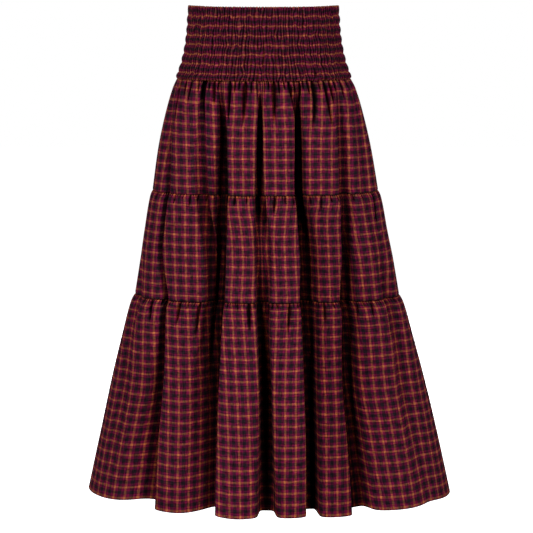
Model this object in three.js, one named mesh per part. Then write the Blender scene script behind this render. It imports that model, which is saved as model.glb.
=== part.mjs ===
// A tiered maxi skirt, worn but with no wearer: a shirred waistband over three gathered tiers, each
// cut as a front and a back panel and sewn at the sides.
// Millimetres. The origin is the centre of the waist opening, level with its top edge. +Z is up, the
// front faces -Y and +X is the viewer's right. Angles go round the skirt from the front centre
// towards +X, and a drop is a distance below the waist edge.
import * as THREE from "three";

// Driving dimensions
const CLOTH_WALL = 1.6;
const SEAM_GAP = 0.3;

const BAND_FOOT = 140;
const SEAM_ONE = 344;
const SEAM_TWO = 541;
const HEM = 919;

const HEM_TILT = 4;
const WAIST_DIP = 7;

// How far a steep valley's crests lean over it, and how much higher the cloth hangs in a valley.
const OVERHANG = 0.8;
const HEM_RISE = 0.15;

// How much higher the hem hangs at both sides, and where round the skirt that starts and ends.
const WING_RISE = 7;
const WING_START = 0.56;
const WING_END = 0.66;
const WING_SHIFT = 0.08;

// The shirred waistband: a plain heading over rows of elastic thread, with a puff between rows.
const SHIRRING = {
  heading: 17.5,
  rows: 8,
  puffDepth: 3.4,
  headingPuff: 1.6,
  ribsPerPanel: 23,
  ribDepth: 2.2,
  plainColumns: 24,
  plainRows: [0, 50, 100, BAND_FOOT],
};

// The outline, level by level: half the width from side to side, half the depth to the front and to
// the back, the centre's shift towards +X, and how far the front is lifted above the sides.
const BAND_OUTLINE = [
  { drop: 0, halfWidth: 138.0, halfFront: 97, halfBack: 101, centre: 0, lift: 0 },
  { drop: 50, halfWidth: 141.0, halfFront: 100, halfBack: 106, centre: 0, lift: 0 },
  { drop: 100, halfWidth: 150.0, halfFront: 107, halfBack: 116, centre: 0.3, lift: 0 },
  { drop: BAND_FOOT, halfWidth: 164.0, halfFront: 117, halfBack: 128, centre: 0.6, lift: 0 },
];
const TIER_ONE_OUTLINE = [
  { drop: BAND_FOOT, halfWidth: 164.0, halfFront: 117, halfBack: 128, centre: 0.6, lift: 0 },
  { drop: 152, halfWidth: 170.5, halfFront: 123, halfBack: 135, centre: 1.2, lift: 0 },
  { drop: 206, halfWidth: 186.5, halfFront: 133, halfBack: 147, centre: 1.6, lift: 0 },
  { drop: 266, halfWidth: 200.0, halfFront: 142, halfBack: 156, centre: 2.2, lift: 1 },
  { drop: SEAM_ONE, halfWidth: 212.0, halfFront: 149, halfBack: 164, centre: 3.4, lift: 2 },
];
const TIER_TWO_OUTLINE = [
  { drop: SEAM_ONE, halfWidth: 212.0, halfFront: 149, halfBack: 164, centre: 3.4, lift: 2 },
  { drop: 355, halfWidth: 216.5, halfFront: 154, halfBack: 169, centre: 3.7, lift: 2 },
  { drop: 417, halfWidth: 228.5, halfFront: 160, halfBack: 175, centre: 4.5, lift: 3 },
  { drop: 478, halfWidth: 239.5, halfFront: 167, halfBack: 182, centre: 6.3, lift: 4 },
  { drop: SEAM_TWO, halfWidth: 250.0, halfFront: 176, halfBack: 190, centre: 6.7, lift: 5 },
];
const TIER_THREE_OUTLINE = [
  { drop: SEAM_TWO, halfWidth: 250.0, halfFront: 176, halfBack: 190, centre: 6.7, lift: 5 },
  { drop: 554, halfWidth: 257.5, halfFront: 182, halfBack: 196, centre: 6.9, lift: 5 },
  { drop: 615, halfWidth: 274.5, halfFront: 196, halfBack: 210, centre: 7.7, lift: 4 },
  { drop: 707, halfWidth: 298.0, halfFront: 216, halfBack: 229, centre: 9.1, lift: 3 },
  { drop: 800, halfWidth: 319.0, halfFront: 236, halfBack: 248, centre: 10.5, lift: 1 },
  { drop: HEM, halfWidth: 345.0, halfFront: 258, halfBack: 269, centre: 11.0, lift: 0 },
];

// The long folds that hang through every tier, as valleys between rounded crests. Each list gives
// the value at the seven stations. left and right are the reaches of the valley's two sides.
const FOLD_STATIONS = [BAND_FOOT, 240, SEAM_ONE, 440, SEAM_TWO, 720, HEM];
const FOLDS = [
  {
    name: "front_1",
    angle: [-80, -68, -64, -61, -52, -43.5, -42],
    depth: [4, 11, 13, 20, 24, 40, 42],
    left: [6, 14, 18, 20, 22, 24, 38],
    right: [6, 12, 12, 12, 11, 11, 20],
  },
  {
    name: "front_2",
    angle: [-42, -38, -34, -27.5, -25.5, -25, -24],
    depth: [8, 13, 12, 22, 20, 6, 0],
    left: [5, 8, 10, 10, 11, 16, 16],
    right: [5, 8, 12, 16, 16, 16, 16],
  },
  {
    name: "front_3",
    angle: [-29, -24, -22, -20, -20.5, -20, -18.5],
    depth: [6, 34, 38, 42, 44, 50, 46],
    left: [5, 11, 14, 9, 16, 26, 34],
    right: [6, 13, 14, 8, 14, 14, 12],
  },
  {
    name: "front_4",
    angle: [-2, -2.5, -3, -2.5, -2.5, -1, -1],
    depth: [5, 28, 26, 19, 30, 44, 38],
    left: [4, 10, 11, 13, 13, 17, 19],
    right: [4, 9, 10, 15, 17, 17, 21],
  },
  {
    name: "front_5",
    angle: [21.5, 19.5, 17.5, 18, 17, 15, 13.5],
    depth: [6, 42, 44, 46, 50, 50, 44],
    left: [6, 13, 13, 13, 16, 15, 15],
    right: [6, 15, 16, 18, 18, 18, 17],
  },
  {
    name: "front_6",
    angle: [62, 50.5, 45.5, 42, 38, 31.5, 29.5],
    depth: [5, 16, 22, 36, 40, 46, 40],
    left: [6, 14, 15, 14, 16, 17, 19],
    right: [6, 14, 16, 17, 22, 25, 30],
  },
  {
    name: "front_7",
    angle: [80, 69, 63, 66, 66.5, 60, 61],
    depth: [4, 6, 4, 4, 11, 9, 4],
    left: [8, 14, 14, 16, 16, 22, 34],
    right: [8, 16, 14, 18, 18, 30, 50],
  },
  {
    name: "back_1",
    angle: [107, 109, 110, 110, 109, 108, 108],
    depth: [4, 11, 17, 22, 28, 38, 42],
    left: [5, 10, 11, 13, 16, 19, 22],
    right: [5, 10, 13, 15, 17, 21, 25],
  },
  {
    name: "back_2",
    angle: [131, 133, 134, 133, 132, 131, 130],
    depth: [5, 18, 28, 30, 38, 46, 44],
    left: [5, 10, 12, 12, 16, 19, 20],
    right: [5, 11, 14, 15, 17, 20, 22],
  },
  {
    name: "back_3",
    angle: [153, 155, 156, 156, 155, 153, 152],
    depth: [6, 32, 34, 40, 44, 50, 44],
    left: [5, 11, 13, 14, 17, 17, 19],
    right: [5, 11, 12, 16, 18, 19, 28],
  },
  {
    name: "back_4",
    angle: [177, 175, 175, 176, 176, 175, 174],
    depth: [5, 22, 28, 26, 38, 48, 44],
    left: [5, 10, 12, 15, 17, 19, 20],
    right: [5, 11, 13, 13, 15, 18, 20],
  },
  {
    name: "back_5",
    angle: [200, 198, 197, 198, 199, 199, 198],
    depth: [6, 34, 35, 42, 44, 48, 42],
    left: [5, 11, 13, 13, 16, 18, 20],
    right: [5, 11, 13, 15, 17, 19, 22],
  },
  {
    name: "back_6",
    angle: [225, 223, 222, 223, 223, 222, 222],
    depth: [5, 16, 27, 28, 36, 46, 44],
    left: [5, 11, 12, 15, 17, 20, 28],
    right: [5, 10, 13, 14, 16, 18, 18],
  },
  {
    name: "back_7",
    angle: [250, 248, 247, 247, 248, 249, 249],
    depth: [4, 10, 17, 20, 26, 36, 40],
    left: [5, 10, 11, 15, 17, 19, 20],
    right: [5, 11, 14, 16, 18, 21, 24],
  },
];

// Short gathers under each seam: how deep each stands, where it is deepest and where it has faded.
const GATHERS_ONE = { perPanel: 22, depth: 3.6, atSeam: 0.45, deepest: 20, faded: 100, seed: 3 };
const GATHERS_TWO = { perPanel: 24, depth: 3.0, atSeam: 0.35, deepest: 14, faded: 80, seed: 11 };
const GATHERS_THREE = { perPanel: 24, depth: 3.4, atSeam: 0.35, deepest: 16, faded: 90, seed: 19 };

// A tier's rows: close ones under the seam that carry the gathers, and wide ones below them. The wide
// ones have their columns on the folds: beside a valley's middle at these shares of its reach, and no
// farther than these shares of the way to the next fold.
const POINTS_PER_GATHER = 4;
const REACH_SHARES = [0.45, 0.95, 1.5, 2.3];
const GAP_SHARES = [0.09, 0.18, 0.28, 0.4];
const TIERS = [
  {
    name: "tier_one", top: BAND_FOOT, foot: SEAM_ONE, outline: TIER_ONE_OUTLINE, gathers: GATHERS_ONE,
    closeRows: [0, 8, 24], wideRows: [56, 100, 150],
  },
  {
    name: "tier_two", top: SEAM_ONE, foot: SEAM_TWO, outline: TIER_TWO_OUTLINE, gathers: GATHERS_TWO,
    closeRows: [0, 7, 20], wideRows: [50, 95, 145],
  },
  {
    name: "tier_three", top: SEAM_TWO, foot: HEM, outline: TIER_THREE_OUTLINE, gathers: GATHERS_THREE,
    closeRows: [0, 8, 24], wideRows: [60, 120, 200, 290],
  },
];

const PANELS = [
  { name: "front", from: -90, to: 90 },
  { name: "back", from: 90, to: 270 },
];

const COTTON = { color: 0x5a1f38, roughness: 0.88, metalness: 0 };

// Value of a table's column at a drop, on a smooth curve through the table's rows.
function smoothColumn(xs, ys, x) {
  const last = xs.length - 1;
  if (x <= xs[0]) return ys[0];
  if (x >= xs[last]) return ys[last];
  const slope = (i) => (ys[i + 1] - ys[i]) / (xs[i + 1] - xs[i]);
  const tangent = (i) => {
    if (i === 0) return slope(0);
    if (i === last) return slope(last - 1);
    const before = slope(i - 1);
    const after = slope(i);
    return before * after <= 0 ? 0 : (2 * before * after) / (before + after);
  };
  const i = xs.findIndex((value, index) => index < last && x <= xs[index + 1]);
  const width = xs[i + 1] - xs[i];
  const t = (x - xs[i]) / width;
  const fromStart = (1 + 2 * t) * (1 - t) ** 2 * ys[i] + t * (1 - t) ** 2 * width * tangent(i);
  const fromEnd = t * t * (3 - 2 * t) * ys[i + 1] + t * t * (t - 1) * width * tangent(i + 1);
  return fromStart + fromEnd;
}

function outlineAt(outline, drop) {
  const drops = outline.map((row) => row.drop);
  const column = (key) => smoothColumn(drops, outline.map((row) => row[key]), drop);
  return {
    halfWidth: column("halfWidth"),
    halfFront: column("halfFront"),
    halfBack: column("halfBack"),
    centre: column("centre"),
    lift: column("lift"),
  };
}

function foldsAt(drop) {
  return FOLDS.map((fold) => ({
    angle: smoothColumn(FOLD_STATIONS, fold.angle, drop),
    depth: smoothColumn(FOLD_STATIONS, fold.depth, drop),
    left: smoothColumn(FOLD_STATIONS, fold.left, drop),
    right: smoothColumn(FOLD_STATIONS, fold.right, drop),
  }));
}

// Length of the outline for one radian at an angle, and its directions along and outward.
function outlineFrame(level, degrees) {
  const angle = THREE.MathUtils.degToRad(degrees);
  const halfDepth = Math.cos(angle) > 0 ? level.halfFront : level.halfBack;
  const along = new THREE.Vector2(level.halfWidth * Math.cos(angle), halfDepth * Math.sin(angle));
  const speed = along.length();
  along.divideScalar(speed);
  return { angle, halfDepth, speed, along, outward: new THREE.Vector2(along.y, -along.x) };
}

// One point of the level's outline with its folds pressed in. A steep valley has walls with crests
// that lean over it from both sides, and a gentle one is a soft slope.
function foldedPoint(level, degrees) {
  const { angle, halfDepth, speed, along, outward } = outlineFrame(level, degrees);
  let inset = 0;
  let slide = 0;
  for (const fold of level.folds) {
    const turn = THREE.MathUtils.euclideanModulo(degrees - fold.angle + 180, 360) - 180;
    const arc = THREE.MathUtils.degToRad(turn) * speed;
    const reach = arc < 0 ? fold.left : fold.right;
    const share = arc / reach;
    const steep = 1 - THREE.MathUtils.smoothstep(reach, 20, 32);
    const wall = 0.8 / (1 + share ** 6) + 0.2 * Math.exp(-((share / 2.5) ** 2));
    const slope = (1 + share * share) ** -1.5;
    inset += fold.depth * (steep * wall + (1 - steep) * slope);
    const far = Math.abs(share);
    const lip = THREE.MathUtils.smoothstep(far, 0.5, 1.6) * Math.exp(-((Math.max(far - 1.6, 0) / 1.3) ** 2));
    slide -= OVERHANG * Math.min(1, fold.depth / reach / 3) * reach * steep * lip * Math.sign(share);
  }
  const point = new THREE.Vector2(
    level.centre + level.halfWidth * Math.sin(angle),
    -halfDepth * Math.cos(angle),
  );
  point.addScaledVector(outward, -inset).addScaledVector(along, slide);
  return { point, inset };
}

// Place of an angle among a panel's folds: a whole number at each fold and at both side seams.
function placeAmongFolds(stops, degrees) {
  const i = Math.min(stops.length - 2, Math.max(0, stops.findLastIndex((stop) => stop <= degrees)));
  return i + (degrees - stops[i]) / (stops[i + 1] - stops[i]);
}

const foldStops = (level, panel) => {
  const angles = level.folds.map((fold) => fold.angle).filter((at) => at > panel.from && at < panel.to);
  return [panel.from, ...angles.sort((a, b) => a - b), panel.to];
};

// The angles of a wide row's columns, which follow the folds.
function columnAngles(level, panel) {
  const stops = foldStops(level, panel);
  const angles = [...stops];
  for (const fold of level.folds) {
    const i = stops.indexOf(fold.angle);
    if (i < 0) continue;
    const perDegree = THREE.MathUtils.degToRad(outlineFrame(level, fold.angle).speed);
    REACH_SHARES.forEach((reachShare, k) => {
      const toLeft = GAP_SHARES[k] * (stops[i] - stops[i - 1]);
      const toRight = GAP_SHARES[k] * (stops[i + 1] - stops[i]);
      angles.push(fold.angle - Math.min((reachShare * fold.left) / perDegree, toLeft));
      angles.push(fold.angle + Math.min((reachShare * fold.right) / perDegree, toRight));
    });
  }
  return angles.sort((a, b) => a - b);
}

// A level's section from one side seam to the other. Its columns are spaced evenly along the cloth,
// or follow the folds where no number is given. Each point has its outward direction, the angle that
// it came from, its place among the folds and how deep in a fold it lies.
function sectionLine(level, panel, columns) {
  const samples = 1440;
  const points = [];
  const lengths = [0];
  for (let i = 0; i <= samples; i += 1) {
    points.push(foldedPoint(level, panel.from + ((panel.to - panel.from) * i) / samples));
    if (i > 0) lengths.push(lengths[i - 1] + points[i].point.distanceTo(points[i - 1].point));
  }
  const total = lengths[samples];
  const sampleOf = (degrees) => ((degrees - panel.from) / (panel.to - panel.from)) * samples;
  const lengthAt = (degrees) => {
    const i = Math.min(samples - 1, Math.floor(sampleOf(degrees)));
    return lengths[i] + (sampleOf(degrees) - i) * (lengths[i + 1] - lengths[i]);
  };
  const targets = columns
    ? Array.from({ length: columns + 1 }, (_, column) => (total * column) / columns)
    : columnAngles(level, panel).map(lengthAt);
  const stops = foldStops(level, panel);
  const line = [];
  let i = 0;
  for (const wanted of targets) {
    const target = SEAM_GAP / 2 + (wanted / total) * (total - SEAM_GAP);
    while (i < samples - 1 && lengths[i + 1] < target) i += 1;
    const t = (target - lengths[i]) / (lengths[i + 1] - lengths[i]);
    const before = points[Math.max(0, i - 3)].point;
    const after = points[Math.min(samples, i + 4)].point;
    const along = after.clone().sub(before).normalize();
    const degrees = panel.from + ((panel.to - panel.from) * (i + t)) / samples;
    line.push({
      share: target / total,
      place: placeAmongFolds(stops, degrees),
      point: points[i].point.clone().lerp(points[i + 1].point, t),
      outward: new THREE.Vector2(along.y, -along.x),
      inset: THREE.MathUtils.lerp(points[i].inset, points[i + 1].inset, t),
      degrees,
    });
  }
  return line;
}

// The same number from 0 to 1 each time for one gather of one panel.
function unevenness(index, seed) {
  const wave = Math.sin(index * 12.9898 + seed * 78.233) * 43758.5453;
  return wave - Math.floor(wave);
}

// How far the gathers push the cloth out or in at a share of the panel's width.
function gatherOffset(gathers, below, share) {
  const rise = Math.min(1, below / gathers.deepest);
  const fall = THREE.MathUtils.smoothstep(below, gathers.deepest, gathers.faded);
  const strength = (gathers.atSeam + (1 - gathers.atSeam) * rise) * (1 - fall);
  const place = share * gathers.perPanel;
  const own = 0.55 + 0.75 * unevenness(Math.round(place - 0.25), gathers.seed);
  const atSide = Math.min(1, 4 * share, 4 * (1 - share));
  return gathers.depth * strength * own * atSide * Math.sin(2 * Math.PI * place);
}

// Height of a point: the front may hang higher than the sides, the waist's back edge dips, the hem is
// a little lower at +X, and it hangs higher at both sides and in a deep fold.
function heightAt(level, drop, column) {
  const angle = THREE.MathUtils.degToRad(column.degrees);
  const lift = level.lift * Math.max(0, Math.cos(angle)) ** 2;
  const tilt = HEM_TILT * (drop / HEM) ** 3 * Math.sin(angle);
  const nearWaist = 1 - THREE.MathUtils.smoothstep(drop, 0, BAND_FOOT);
  const dip = WAIST_DIP * nearWaist * Math.max(0, -Math.cos(angle)) ** 2;
  const wing = THREE.MathUtils.smoothstep(Math.abs(Math.sin(angle) + WING_SHIFT), WING_START, WING_END);
  const nearHem = THREE.MathUtils.smoothstep(drop, SEAM_TWO, HEM);
  return -drop + lift - tilt - dip + nearHem * (HEM_RISE * column.inset + WING_RISE * wing);
}

// One row of a wall: its place down the panel and, for each column, a point of the cloth.
function wallRow(down, line, height, offsetAt) {
  return {
    down,
    points: line.map((column) => {
      const at = column.point.clone().addScaledVector(column.outward, offsetAt(column.share));
      return { place: column.place, at: new THREE.Vector3(at.x, at.y, height(column)) };
    }),
  };
}

// Triangles between two lines of points, which may differ in number. Each point has a place, and the
// strip runs along both lines in step.
function strip(triangles, lower, upper) {
  let i = 0;
  let j = 0;
  while (i < lower.length - 1 || j < upper.length - 1) {
    const lowerNext = i < lower.length - 1 ? lower[i + 1].place : Infinity;
    const upperNext = j < upper.length - 1 ? upper[j + 1].place : Infinity;
    if (lowerNext <= upperNext) {
      triangles.push(lower[i].at, lower[i + 1].at, upper[j].at);
      i += 1;
    } else {
      triangles.push(lower[i].at, upper[j + 1].at, upper[j].at);
      j += 1;
    }
  }
}

const acrossRow = (row) => row.points;
const downRows = (rows, pick) => rows.map((row) => ({ place: row.down, at: pick(row.points).at }));
const firstOf = (points) => points[0];
const lastOf = (points) => points[points.length - 1];

// A closed wall between an outer and an inner skin. Rows run from the top down, and columns from
// left to right as seen from outside.
function wallGeometry(outer, inner) {
  const triangles = [];
  for (let i = 0; i + 1 < outer.length; i += 1) strip(triangles, acrossRow(outer[i + 1]), acrossRow(outer[i]));
  for (let i = 0; i + 1 < inner.length; i += 1) strip(triangles, acrossRow(inner[i]), acrossRow(inner[i + 1]));
  strip(triangles, acrossRow(outer[0]), acrossRow(inner[0]));
  strip(triangles, acrossRow(lastOf(inner)), acrossRow(lastOf(outer)));
  strip(triangles, downRows(inner, firstOf), downRows(outer, firstOf));
  strip(triangles, downRows(outer, lastOf), downRows(inner, lastOf));
  const geometry = new THREE.BufferGeometry().setFromPoints(triangles);
  geometry.computeVertexNormals();
  return geometry;
}

// A tier's panel: both skins follow the folds and the gathers, one wall apart.
function tierPanel(tier, panel) {
  const rowsBelow = [...tier.closeRows, ...tier.wideRows, tier.foot - tier.top];
  const gatherColumns = tier.gathers.perPanel * POINTS_PER_GATHER;
  const skin = (inset) =>
    rowsBelow.map((below) => {
      const drop = tier.top + below;
      const level = { ...outlineAt(tier.outline, drop), folds: foldsAt(drop) };
      const gap = below === 0 ? SEAM_GAP : 0;
      const columns = tier.closeRows.includes(below) ? gatherColumns : 0;
      return wallRow(
        below,
        sectionLine(level, panel, columns),
        (column) => heightAt(level, drop, column) - gap,
        (share) => gatherOffset(tier.gathers, below, share) - inset,
      );
    });
  return wallGeometry(skin(0), skin(CLOTH_WALL));
}

// How far the waistband's outer skin stands off its plain inside at a drop: in at each row of
// elastic thread, and out at the puff between two rows.
function puffAt(drop) {
  const { heading, rows, puffDepth, headingPuff } = SHIRRING;
  const pitch = (BAND_FOOT - heading) / (rows - 1);
  if (drop < heading) return headingPuff * Math.sin((Math.PI * (drop / heading + 0.35)) / 1.35);
  return puffDepth * Math.abs(Math.sin((Math.PI * (drop - heading)) / pitch));
}

// The waistband's panel: puffs and ribs are raised in the outer skin over a plain inside.
function bandPanel(panel) {
  const { heading, rows, ribsPerPanel, ribDepth, plainColumns, plainRows } = SHIRRING;
  const pitch = (BAND_FOOT - heading) / (rows - 1);
  const drops = [0, heading / 2];
  for (let row = 0; row < rows; row += 1) {
    drops.push(heading + row * pitch);
    if (row < rows - 1) drops.push(heading + (row + 0.5) * pitch);
  }
  const levelAt = (drop) => ({ ...outlineAt(BAND_OUTLINE, drop), folds: [] });
  const outer = drops.map((drop) =>
    wallRow(
      drop,
      sectionLine(levelAt(drop), panel, 2 * ribsPerPanel),
      (column) => heightAt(levelAt(drop), drop, column),
      (share) => {
        const raised = Math.round(share * 2 * ribsPerPanel) % 2;
        const own = 0.6 + 0.6 * unevenness(share * ribsPerPanel, drop);
        return puffAt(drop) + ribDepth * raised * own;
      },
    ),
  );
  const inner = plainRows.map((drop) =>
    wallRow(
      drop,
      sectionLine(levelAt(drop), panel, plainColumns),
      (column) => heightAt(levelAt(drop), drop, column),
      () => -CLOTH_WALL,
    ),
  );
  return wallGeometry(outer, inner);
}

function clothMesh(name, geometry) {
  const mesh = new THREE.Mesh(geometry, new THREE.MeshStandardMaterial(COTTON));
  mesh.name = name;
  return mesh;
}

const skirt = new THREE.Group();
for (const panel of PANELS) {
  skirt.add(clothMesh(`waistband_${panel.name}`, bandPanel(panel)));
  for (const tier of TIERS) {
    skirt.add(clothMesh(`${tier.name}_${panel.name}`, tierPanel(tier, panel)));
  }
}

export default skirt;
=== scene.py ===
"""A tiered maxi skirt in checked brushed cotton, worn but with no wearer.

The waistband is shirred on rows of elastic thread, and three gathered tiers hang from it. Each is a
front and a back piece of cloth, sewn at the sides. Sizes in the tables are millimetres, places in
the scene are metres, and a drop is a distance below the waist edge.
"""

import logging
import math
from dataclasses import dataclass
from enum import Enum

import bmesh
import bpy
import numpy as np
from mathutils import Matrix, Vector

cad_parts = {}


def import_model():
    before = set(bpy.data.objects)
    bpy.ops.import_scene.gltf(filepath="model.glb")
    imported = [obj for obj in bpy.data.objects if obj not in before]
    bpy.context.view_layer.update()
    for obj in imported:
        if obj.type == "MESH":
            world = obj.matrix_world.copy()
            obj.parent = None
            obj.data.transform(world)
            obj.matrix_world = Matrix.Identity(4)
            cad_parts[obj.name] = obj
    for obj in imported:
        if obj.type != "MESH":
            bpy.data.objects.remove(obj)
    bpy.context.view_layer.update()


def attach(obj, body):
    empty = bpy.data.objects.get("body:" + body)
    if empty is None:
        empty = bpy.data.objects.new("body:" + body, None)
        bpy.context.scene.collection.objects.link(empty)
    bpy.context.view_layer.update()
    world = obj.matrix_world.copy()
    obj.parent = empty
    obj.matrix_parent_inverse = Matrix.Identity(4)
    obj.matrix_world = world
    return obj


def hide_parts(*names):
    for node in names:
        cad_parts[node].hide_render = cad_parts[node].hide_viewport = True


LOG = logging.getLogger("maxi_skirt")
MM = 0.001
GAMMA = 2.2

# Drops of the seams, of the rows of elastic and of the hem
BAND_FOOT = 140.0
BAND_SEAM = 134.5
ELASTIC_ROWS = (17.5, 35.0, 52.5, 70.0, 87.5, 105.0, 122.5, BAND_SEAM)
SEAM_ONE = 344.0
SEAM_TWO = 541.0
HEM = 919.0

# The cloth, its check and its edges
CHECK_REPEAT = 19.5
CLOTH_THICKNESS = 0.9
TURNED_EDGE = 6.0
EDGE_RUFFLE = 0.5

# How the waist edge and the hem leave a level line
WAIST_DIP = 7.0
HEM_TILT = 4.0
HEM_RISE = 0.15
WING_RISE = 7.0
WING_START = 0.56
WING_END = 0.66
WING_SHIFT = 0.08
CREST_SAG = 7.0
SAG_MEAN = 0.55
SAG_VALLEY = 6.0

# Reaches at which a valley's side turns from a gentle slope to a steep wall and at which the valley
# shuts enough to get painted shade, and how soft or firm the painted shade's edge is
GENTLE_REACH = 32.0
STEEP_REACH = 20.0
TIGHT_REACH = 12.0
POCKET_OPEN = 50.0
POCKET_SHUT = 14.0
SOFT_EDGE = 2
FIRM_EDGE = 6

# The forms of a steep wall and of the crest that leans over it, in reaches
WALL_SHARE = 0.8
SHOULDER = 2.5
OVERHANG = 0.8
LEANING_DEPTH = 3.0
LIP_START = 0.5
LIP_CREST = 1.6
LIP_FADE = 1.3

# Where the warp runs straight and where the cloth's spare width is hidden
HIDING_DEPTH = 25.0
HIDDEN_STRIP = 5.0
WING_SPREAD = 0.72

# How finely the cloth is drawn
SECTION_SAMPLES = 2880
BACK_COLUMNS = 0.7


class Side(Enum):
    """A panel of the skirt, with the angles of its two side seams."""

    FRONT = ("front", -90.0, 90.0)
    BACK = ("back", 90.0, 270.0)

    @property
    def label(self) -> str:
        """The panel's name in a piece's name."""
        return self.value[0]

    @property
    def span(self) -> tuple[float, float]:
        """The angles of the left and right side seams, in degrees."""
        return self.value[1], self.value[2]


def smooth_column(xs: tuple[float, ...], ys: tuple[float, ...], x: float) -> float:
    """Reads a table's column on a smooth curve that never overshoots its rows.

    Args:
        xs: The rows' places.
        ys: The rows' values.
        x: The place to read at.

    Returns:
        The value there.
    """
    if x <= xs[0]:
        return ys[0]
    if x >= xs[-1]:
        return ys[-1]
    slopes = [(y1 - y0) / (x1 - x0) for x0, x1, y0, y1 in zip(xs, xs[1:], ys, ys[1:])]
    tangents = [slopes[0]]
    for before, after in zip(slopes, slopes[1:]):
        tangents.append(0.0 if before * after <= 0 else 2 * before * after / (before + after))
    tangents.append(slopes[-1])
    i = next(k for k in range(len(slopes)) if x <= xs[k + 1])
    width = xs[i + 1] - xs[i]
    t = (x - xs[i]) / width
    from_start = (1 + 2 * t) * (1 - t) ** 2 * ys[i] + t * (1 - t) ** 2 * width * tangents[i]
    from_end = t * t * (3 - 2 * t) * ys[i + 1] + t * t * (t - 1) * width * tangents[i + 1]
    return from_start + from_end


def smooth_step(start: float, end: float, x: np.ndarray) -> np.ndarray:
    """Rises smoothly from 0 at start to 1 at end."""
    t = np.clip((x - start) / (end - start), 0.0, 1.0)
    return t * t * (3 - 2 * t)


@dataclass(frozen=True)
class Level:
    """The skirt's outline at one level: half its width, its half depths, its centre and its lift."""

    drop: float
    half_width: float
    half_front: float
    half_back: float
    centre: float
    lift: float

    @property
    def row(self) -> tuple[float, ...]:
        """The level's values without its drop."""
        return self.half_width, self.half_front, self.half_back, self.centre, self.lift


@dataclass(frozen=True)
class Outline:
    """A stretch of the skirt's outline as a few levels from the top down."""

    levels: tuple[Level, ...]

    def at(self, drop: float) -> Level:
        """Reads the outline between its levels.

        Args:
            drop: The drop to read at.

        Returns:
            The level there.
        """
        drops = tuple(level.drop for level in self.levels)
        columns = zip(*(level.row for level in self.levels))
        return Level(drop, *(smooth_column(drops, column, drop) for column in columns))


@dataclass(frozen=True)
class Fold:
    """A long fold's valley, with its values at a few drops from the band's foot to the hem."""

    angle: tuple[float, ...]
    depth: tuple[float, ...]
    left: tuple[float, ...]
    right: tuple[float, ...]

    STATIONS = (BAND_FOOT, 240.0, SEAM_ONE, 440.0, SEAM_TWO, 720.0, HEM)

    @property
    def hides(self) -> bool:
        """Whether the fold is deep enough to hide the cloth's spare width."""
        return self.depth[-1] >= HIDING_DEPTH

    def at(self, drop: float) -> tuple[float, ...]:
        """Reads the angle, the depth and the reaches of both sides at a drop."""
        columns = (self.angle, self.depth, self.left, self.right)
        return tuple(smooth_column(self.STATIONS, column, drop) for column in columns)


BAND_OUTLINE = Outline(
    (
        Level(0, 138.0, 97, 101, 0, 0),
        Level(50, 141.0, 100, 106, 0, 0),
        Level(100, 150.0, 107, 116, 0.3, 0),
        Level(BAND_FOOT, 164.0, 117, 128, 0.6, 0),
    )
)
TIER_LEVELS = (
    Level(BAND_SEAM, 162.0, 115.7, 126.4, 0.5, 0),
    Level(152, 170.5, 123, 135, 1.2, 0),
    Level(206, 186.5, 133, 147, 1.6, 0),
    Level(266, 199.8, 142, 156, 2.2, 1),
    Level(SEAM_ONE, 212.0, 149, 164, 3.4, 2),
    Level(355, 216.7, 154, 169, 3.7, 2),
    Level(417, 228.3, 160, 175, 4.5, 3),
    Level(478, 239.3, 167, 182, 6.3, 4),
    Level(SEAM_TWO, 250.2, 176, 190, 6.7, 5),
    Level(554, 257.3, 182, 196, 6.9, 5),
    Level(615, 274.6, 196, 210, 7.7, 4),
    Level(707, 298.0, 216, 229, 9.1, 3),
    Level(800, 319.0, 236, 248, 10.5, 1),
    Level(HEM, 345.0, 258, 269, 11.1, 0),
)

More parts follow.
